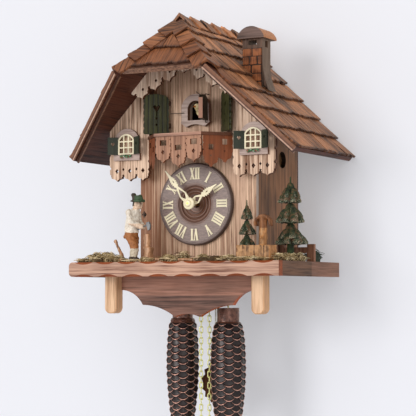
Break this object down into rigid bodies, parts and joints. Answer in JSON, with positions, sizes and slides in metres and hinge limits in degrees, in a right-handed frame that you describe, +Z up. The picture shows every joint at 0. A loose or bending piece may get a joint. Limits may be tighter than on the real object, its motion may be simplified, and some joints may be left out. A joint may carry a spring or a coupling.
{
  "type": "cuckoo clock",
  "caption": "Chalet-shaped wall cuckoo clock with shingled half-hip roof, balcony, dial and hands, fir-cone weights on chains, leaf pendulum, woodchopper and well figures.",
  "frame": {"origin": "centre of the hanging hole at the back, on the wall plane", "axes": "+X to the right seen from the front, +Y into the wall, +Z up"},
  "size_m": [0.3181, 0.22, 0.6364],
  "materials": {
    "case_wood": "stained softwood, satin",
    "side_wood": "dark stained softwood",
    "pale_wood": "light stained softwood, satin",
    "shingle_wood": "carved and stained shingles",
    "green_paint": "olive green painted wood",
    "frame_wood": "pale pinkish grey stained wood",
    "cream_plastic": "bone coloured plastic",
    "wire_steel": "bright wire",
    "bird_paint": "painted bird",
    "petals": "moulded flowers",
    "dial_wood": "turned dark wood",
    "movement_brass": "bright brass",
    "gong_steel": "blued gong on its iron foot",
    "bellows_wood": "plain whistle tube with paper folds",
    "cone_iron": "brown painted cast iron",
    "leaf_wood": "carved leaf",
    "figure_paint": "painted carved figure",
    "axe_grey": "grey painted axe",
    "log_wood": "split and sawn wood",
    "fir_green": "painted carved firs",
    "moss": "dried moss"
  },
  "bodies": {
    "case": {"front_wall": "case_wood", "side_walls": "side_wood", "back_rail": "side_wood", "base_front_board": "case_wood", "base_sides": "case_wood", "base_deck": "side_wood", "support_posts": "pale_wood", "apron": "side_wood", "roof_boards": "side_wood", "shingles": "shingle_wood", "roof_caps": "shingle_wood", "roof_trims": "pale_wood", "chimney": "shingle_wood", "gable_wings": "pale_wood", "gable_blocks": "side_wood", "gable_fret": "pale_wood", "balcony_boards": "pale_wood", "balcony_frame": "pale_wood", "large_shutters": "green_paint", "door_surround": "frame_wood", "door_wires": "wire_steel", "window_surrounds": "frame_wood", "window_lattices": "cream_plastic", "window_shutters": "green_paint", "window_flowers": "petals", "dial": "dial_wood", "dial_numerals": "cream_plastic", "movement_frame": "movement_brass", "gong": "gong_steel", "bellows": "bellows_wood", "woodchopper": "figure_paint", "woodpile": "log_wood", "well": "log_wood", "firs": "fir_green", "fence": "log_wood", "moss_bed": "moss"},
    "back_door": {"back_door": "side_wood"},
    "cuckoo_door": {"cuckoo_door": "green_paint"},
    "cuckoo": {"cuckoo": "bird_paint"},
    "minute_hand": {"minute_hand": "cream_plastic", "minute_arbor": "movement_brass"},
    "hour_hand": {"hour_hand": "cream_plastic", "hour_pipe": "movement_brass"},
    "chain_wheel_right": {"chain_wheel_right": "movement_brass"},
    "chain_wheel_left": {"chain_wheel_left": "movement_brass"},
    "escape_wheel": {"escape_wheel": "wire_steel"},
    "anchor": {"anchor": "wire_steel"},
    "pendulum": {"pendulum_rod": "wire_steel", "pendulum_leaf": "leaf_wood"},
    "gong_hammer": {"gong_hammer": "wire_steel"},
    "bellows_lid_right": {"bellows_lid_right": "bellows_wood"},
    "bellows_lid_left": {"bellows_lid_left": "bellows_wood"},
    "weight_right": {"weight_right": "cone_iron", "chain_right_loaded": "movement_brass"},
    "weight_left": {"weight_left": "cone_iron", "chain_left_loaded": "movement_brass"},
    "chain_right_free": {"chain_right_free": "movement_brass"},
    "chain_left_free": {"chain_left_free": "movement_brass"},
    "chopper_arms": {"chopper_arms": "figure_paint", "axe": "axe_grey"}
  },
  "joints": [
    {"name": "back_door_slide", "type": "slide", "parent": "case", "child": "back_door", "axis": [0, 1, 0], "range_m": [0, 0.03]},
    {"name": "cuckoo_door_hinge", "type": "hinge", "parent": "case", "child": "cuckoo_door", "pos_m": [0.016, -0.1271, -0.0645], "axis": [0, 0, 1], "range_deg": [-106, 0]},
    {"name": "cuckoo_slide", "type": "slide", "parent": "case", "child": "cuckoo", "axis": [0, 1, 0], "range_m": [0, 0.0125]},
    {"name": "minute_turn", "type": "hinge", "parent": "case", "child": "minute_hand", "pos_m": [0, -0.118, -0.18], "axis": [0, 1, 0], "continuous": true},
    {"name": "hour_turn", "type": "hinge", "parent": "case", "child": "hour_hand", "pos_m": [0, -0.118, -0.18], "axis": [0, 1, 0], "continuous": true},
    {"name": "weight_right_travel", "type": "slide", "parent": "case", "child": "weight_right", "axis": [0, 0, 1], "range_m": [-0.06, 0]},
    {"name": "weight_left_travel", "type": "slide", "parent": "case", "child": "weight_left", "axis": [0, 0, 1], "range_m": [-0.06, 0]},
    {"name": "chain_right_free_travel", "type": "slide", "parent": "case", "child": "chain_right_free", "axis": [0, 0, 1], "range_m": [0, 0.0601]},
    {"name": "chain_left_free_travel", "type": "slide", "parent": "case", "child": "chain_left_free", "axis": [0, 0, 1], "range_m": [0, 0.0601]},
    {"name": "chain_wheel_right_turn", "type": "hinge", "parent": "case", "child": "chain_wheel_right", "pos_m": [0.0186, -0.098, -0.21], "axis": [0, 1, 0], "range_deg": [0, 267]},
    {"name": "chain_wheel_left_turn", "type": "hinge", "parent": "case", "child": "chain_wheel_left", "pos_m": [-0.0186, -0.098, -0.21], "axis": [0, 1, 0], "range_deg": [-267, 0]},
    {"name": "escape_wheel_turn", "type": "hinge", "parent": "case", "child": "escape_wheel", "pos_m": [0, -0.086, -0.161], "axis": [0, 1, 0], "continuous": true},
    {"name": "pendulum_swing", "type": "hinge", "parent": "case", "child": "pendulum", "pos_m": [0, -0.071, -0.1386], "axis": [0, 1, 0], "range_deg": [-6, 6]},
    {"name": "anchor_swing", "type": "hinge", "parent": "case", "child": "anchor", "pos_m": [0, -0.086, -0.148], "axis": [0, 1, 0], "range_deg": [-7.2, 7.2]},
    {"name": "gong_hammer_swing", "type": "hinge", "parent": "case", "child": "gong_hammer", "pos_m": [0.026, -0.018, -0.166], "axis": [0, 1, 0], "range_deg": [-18, 2.5]},
    {"name": "bellows_lid_right_hinge", "type": "hinge", "parent": "case", "child": "bellows_lid_right", "pos_m": [0.062, -0.03, -0.1027], "axis": [1, 0, 0], "range_deg": [-12, 0]},
    {"name": "bellows_lid_left_hinge", "type": "hinge", "parent": "case", "child": "bellows_lid_left", "pos_m": [-0.062, -0.03, -0.1027], "axis": [1, 0, 0], "range_deg": [-12, 0]},
    {"name": "chopper_arms_hinge", "type": "hinge", "parent": "case", "child": "chopper_arms", "pos_m": [-0.0635, -0.163, -0.19], "axis": [0, 1, 0], "range_deg": [-14, 0]}
  ],
  "couplings": [
    {"joint": "cuckoo_slide", "follows": "cuckoo_door_hinge", "m_per_rad": -0.0065},
    {"joint": "hour_turn", "follows": "minute_turn", "ratio": 0.083333},
    {"joint": "chain_right_free_travel", "follows": "weight_right_travel", "ratio": -1},
    {"joint": "chain_left_free_travel", "follows": "weight_left_travel", "ratio": -1},
    {"joint": "chain_wheel_right_turn", "follows": "weight_right_travel", "rad_per_m": -77.519},
    {"joint": "chain_wheel_left_turn", "follows": "weight_left_travel", "rad_per_m": 77.519},
    {"joint": "anchor_swing", "follows": "pendulum_swing", "ratio": 1.1843}
  ]
}
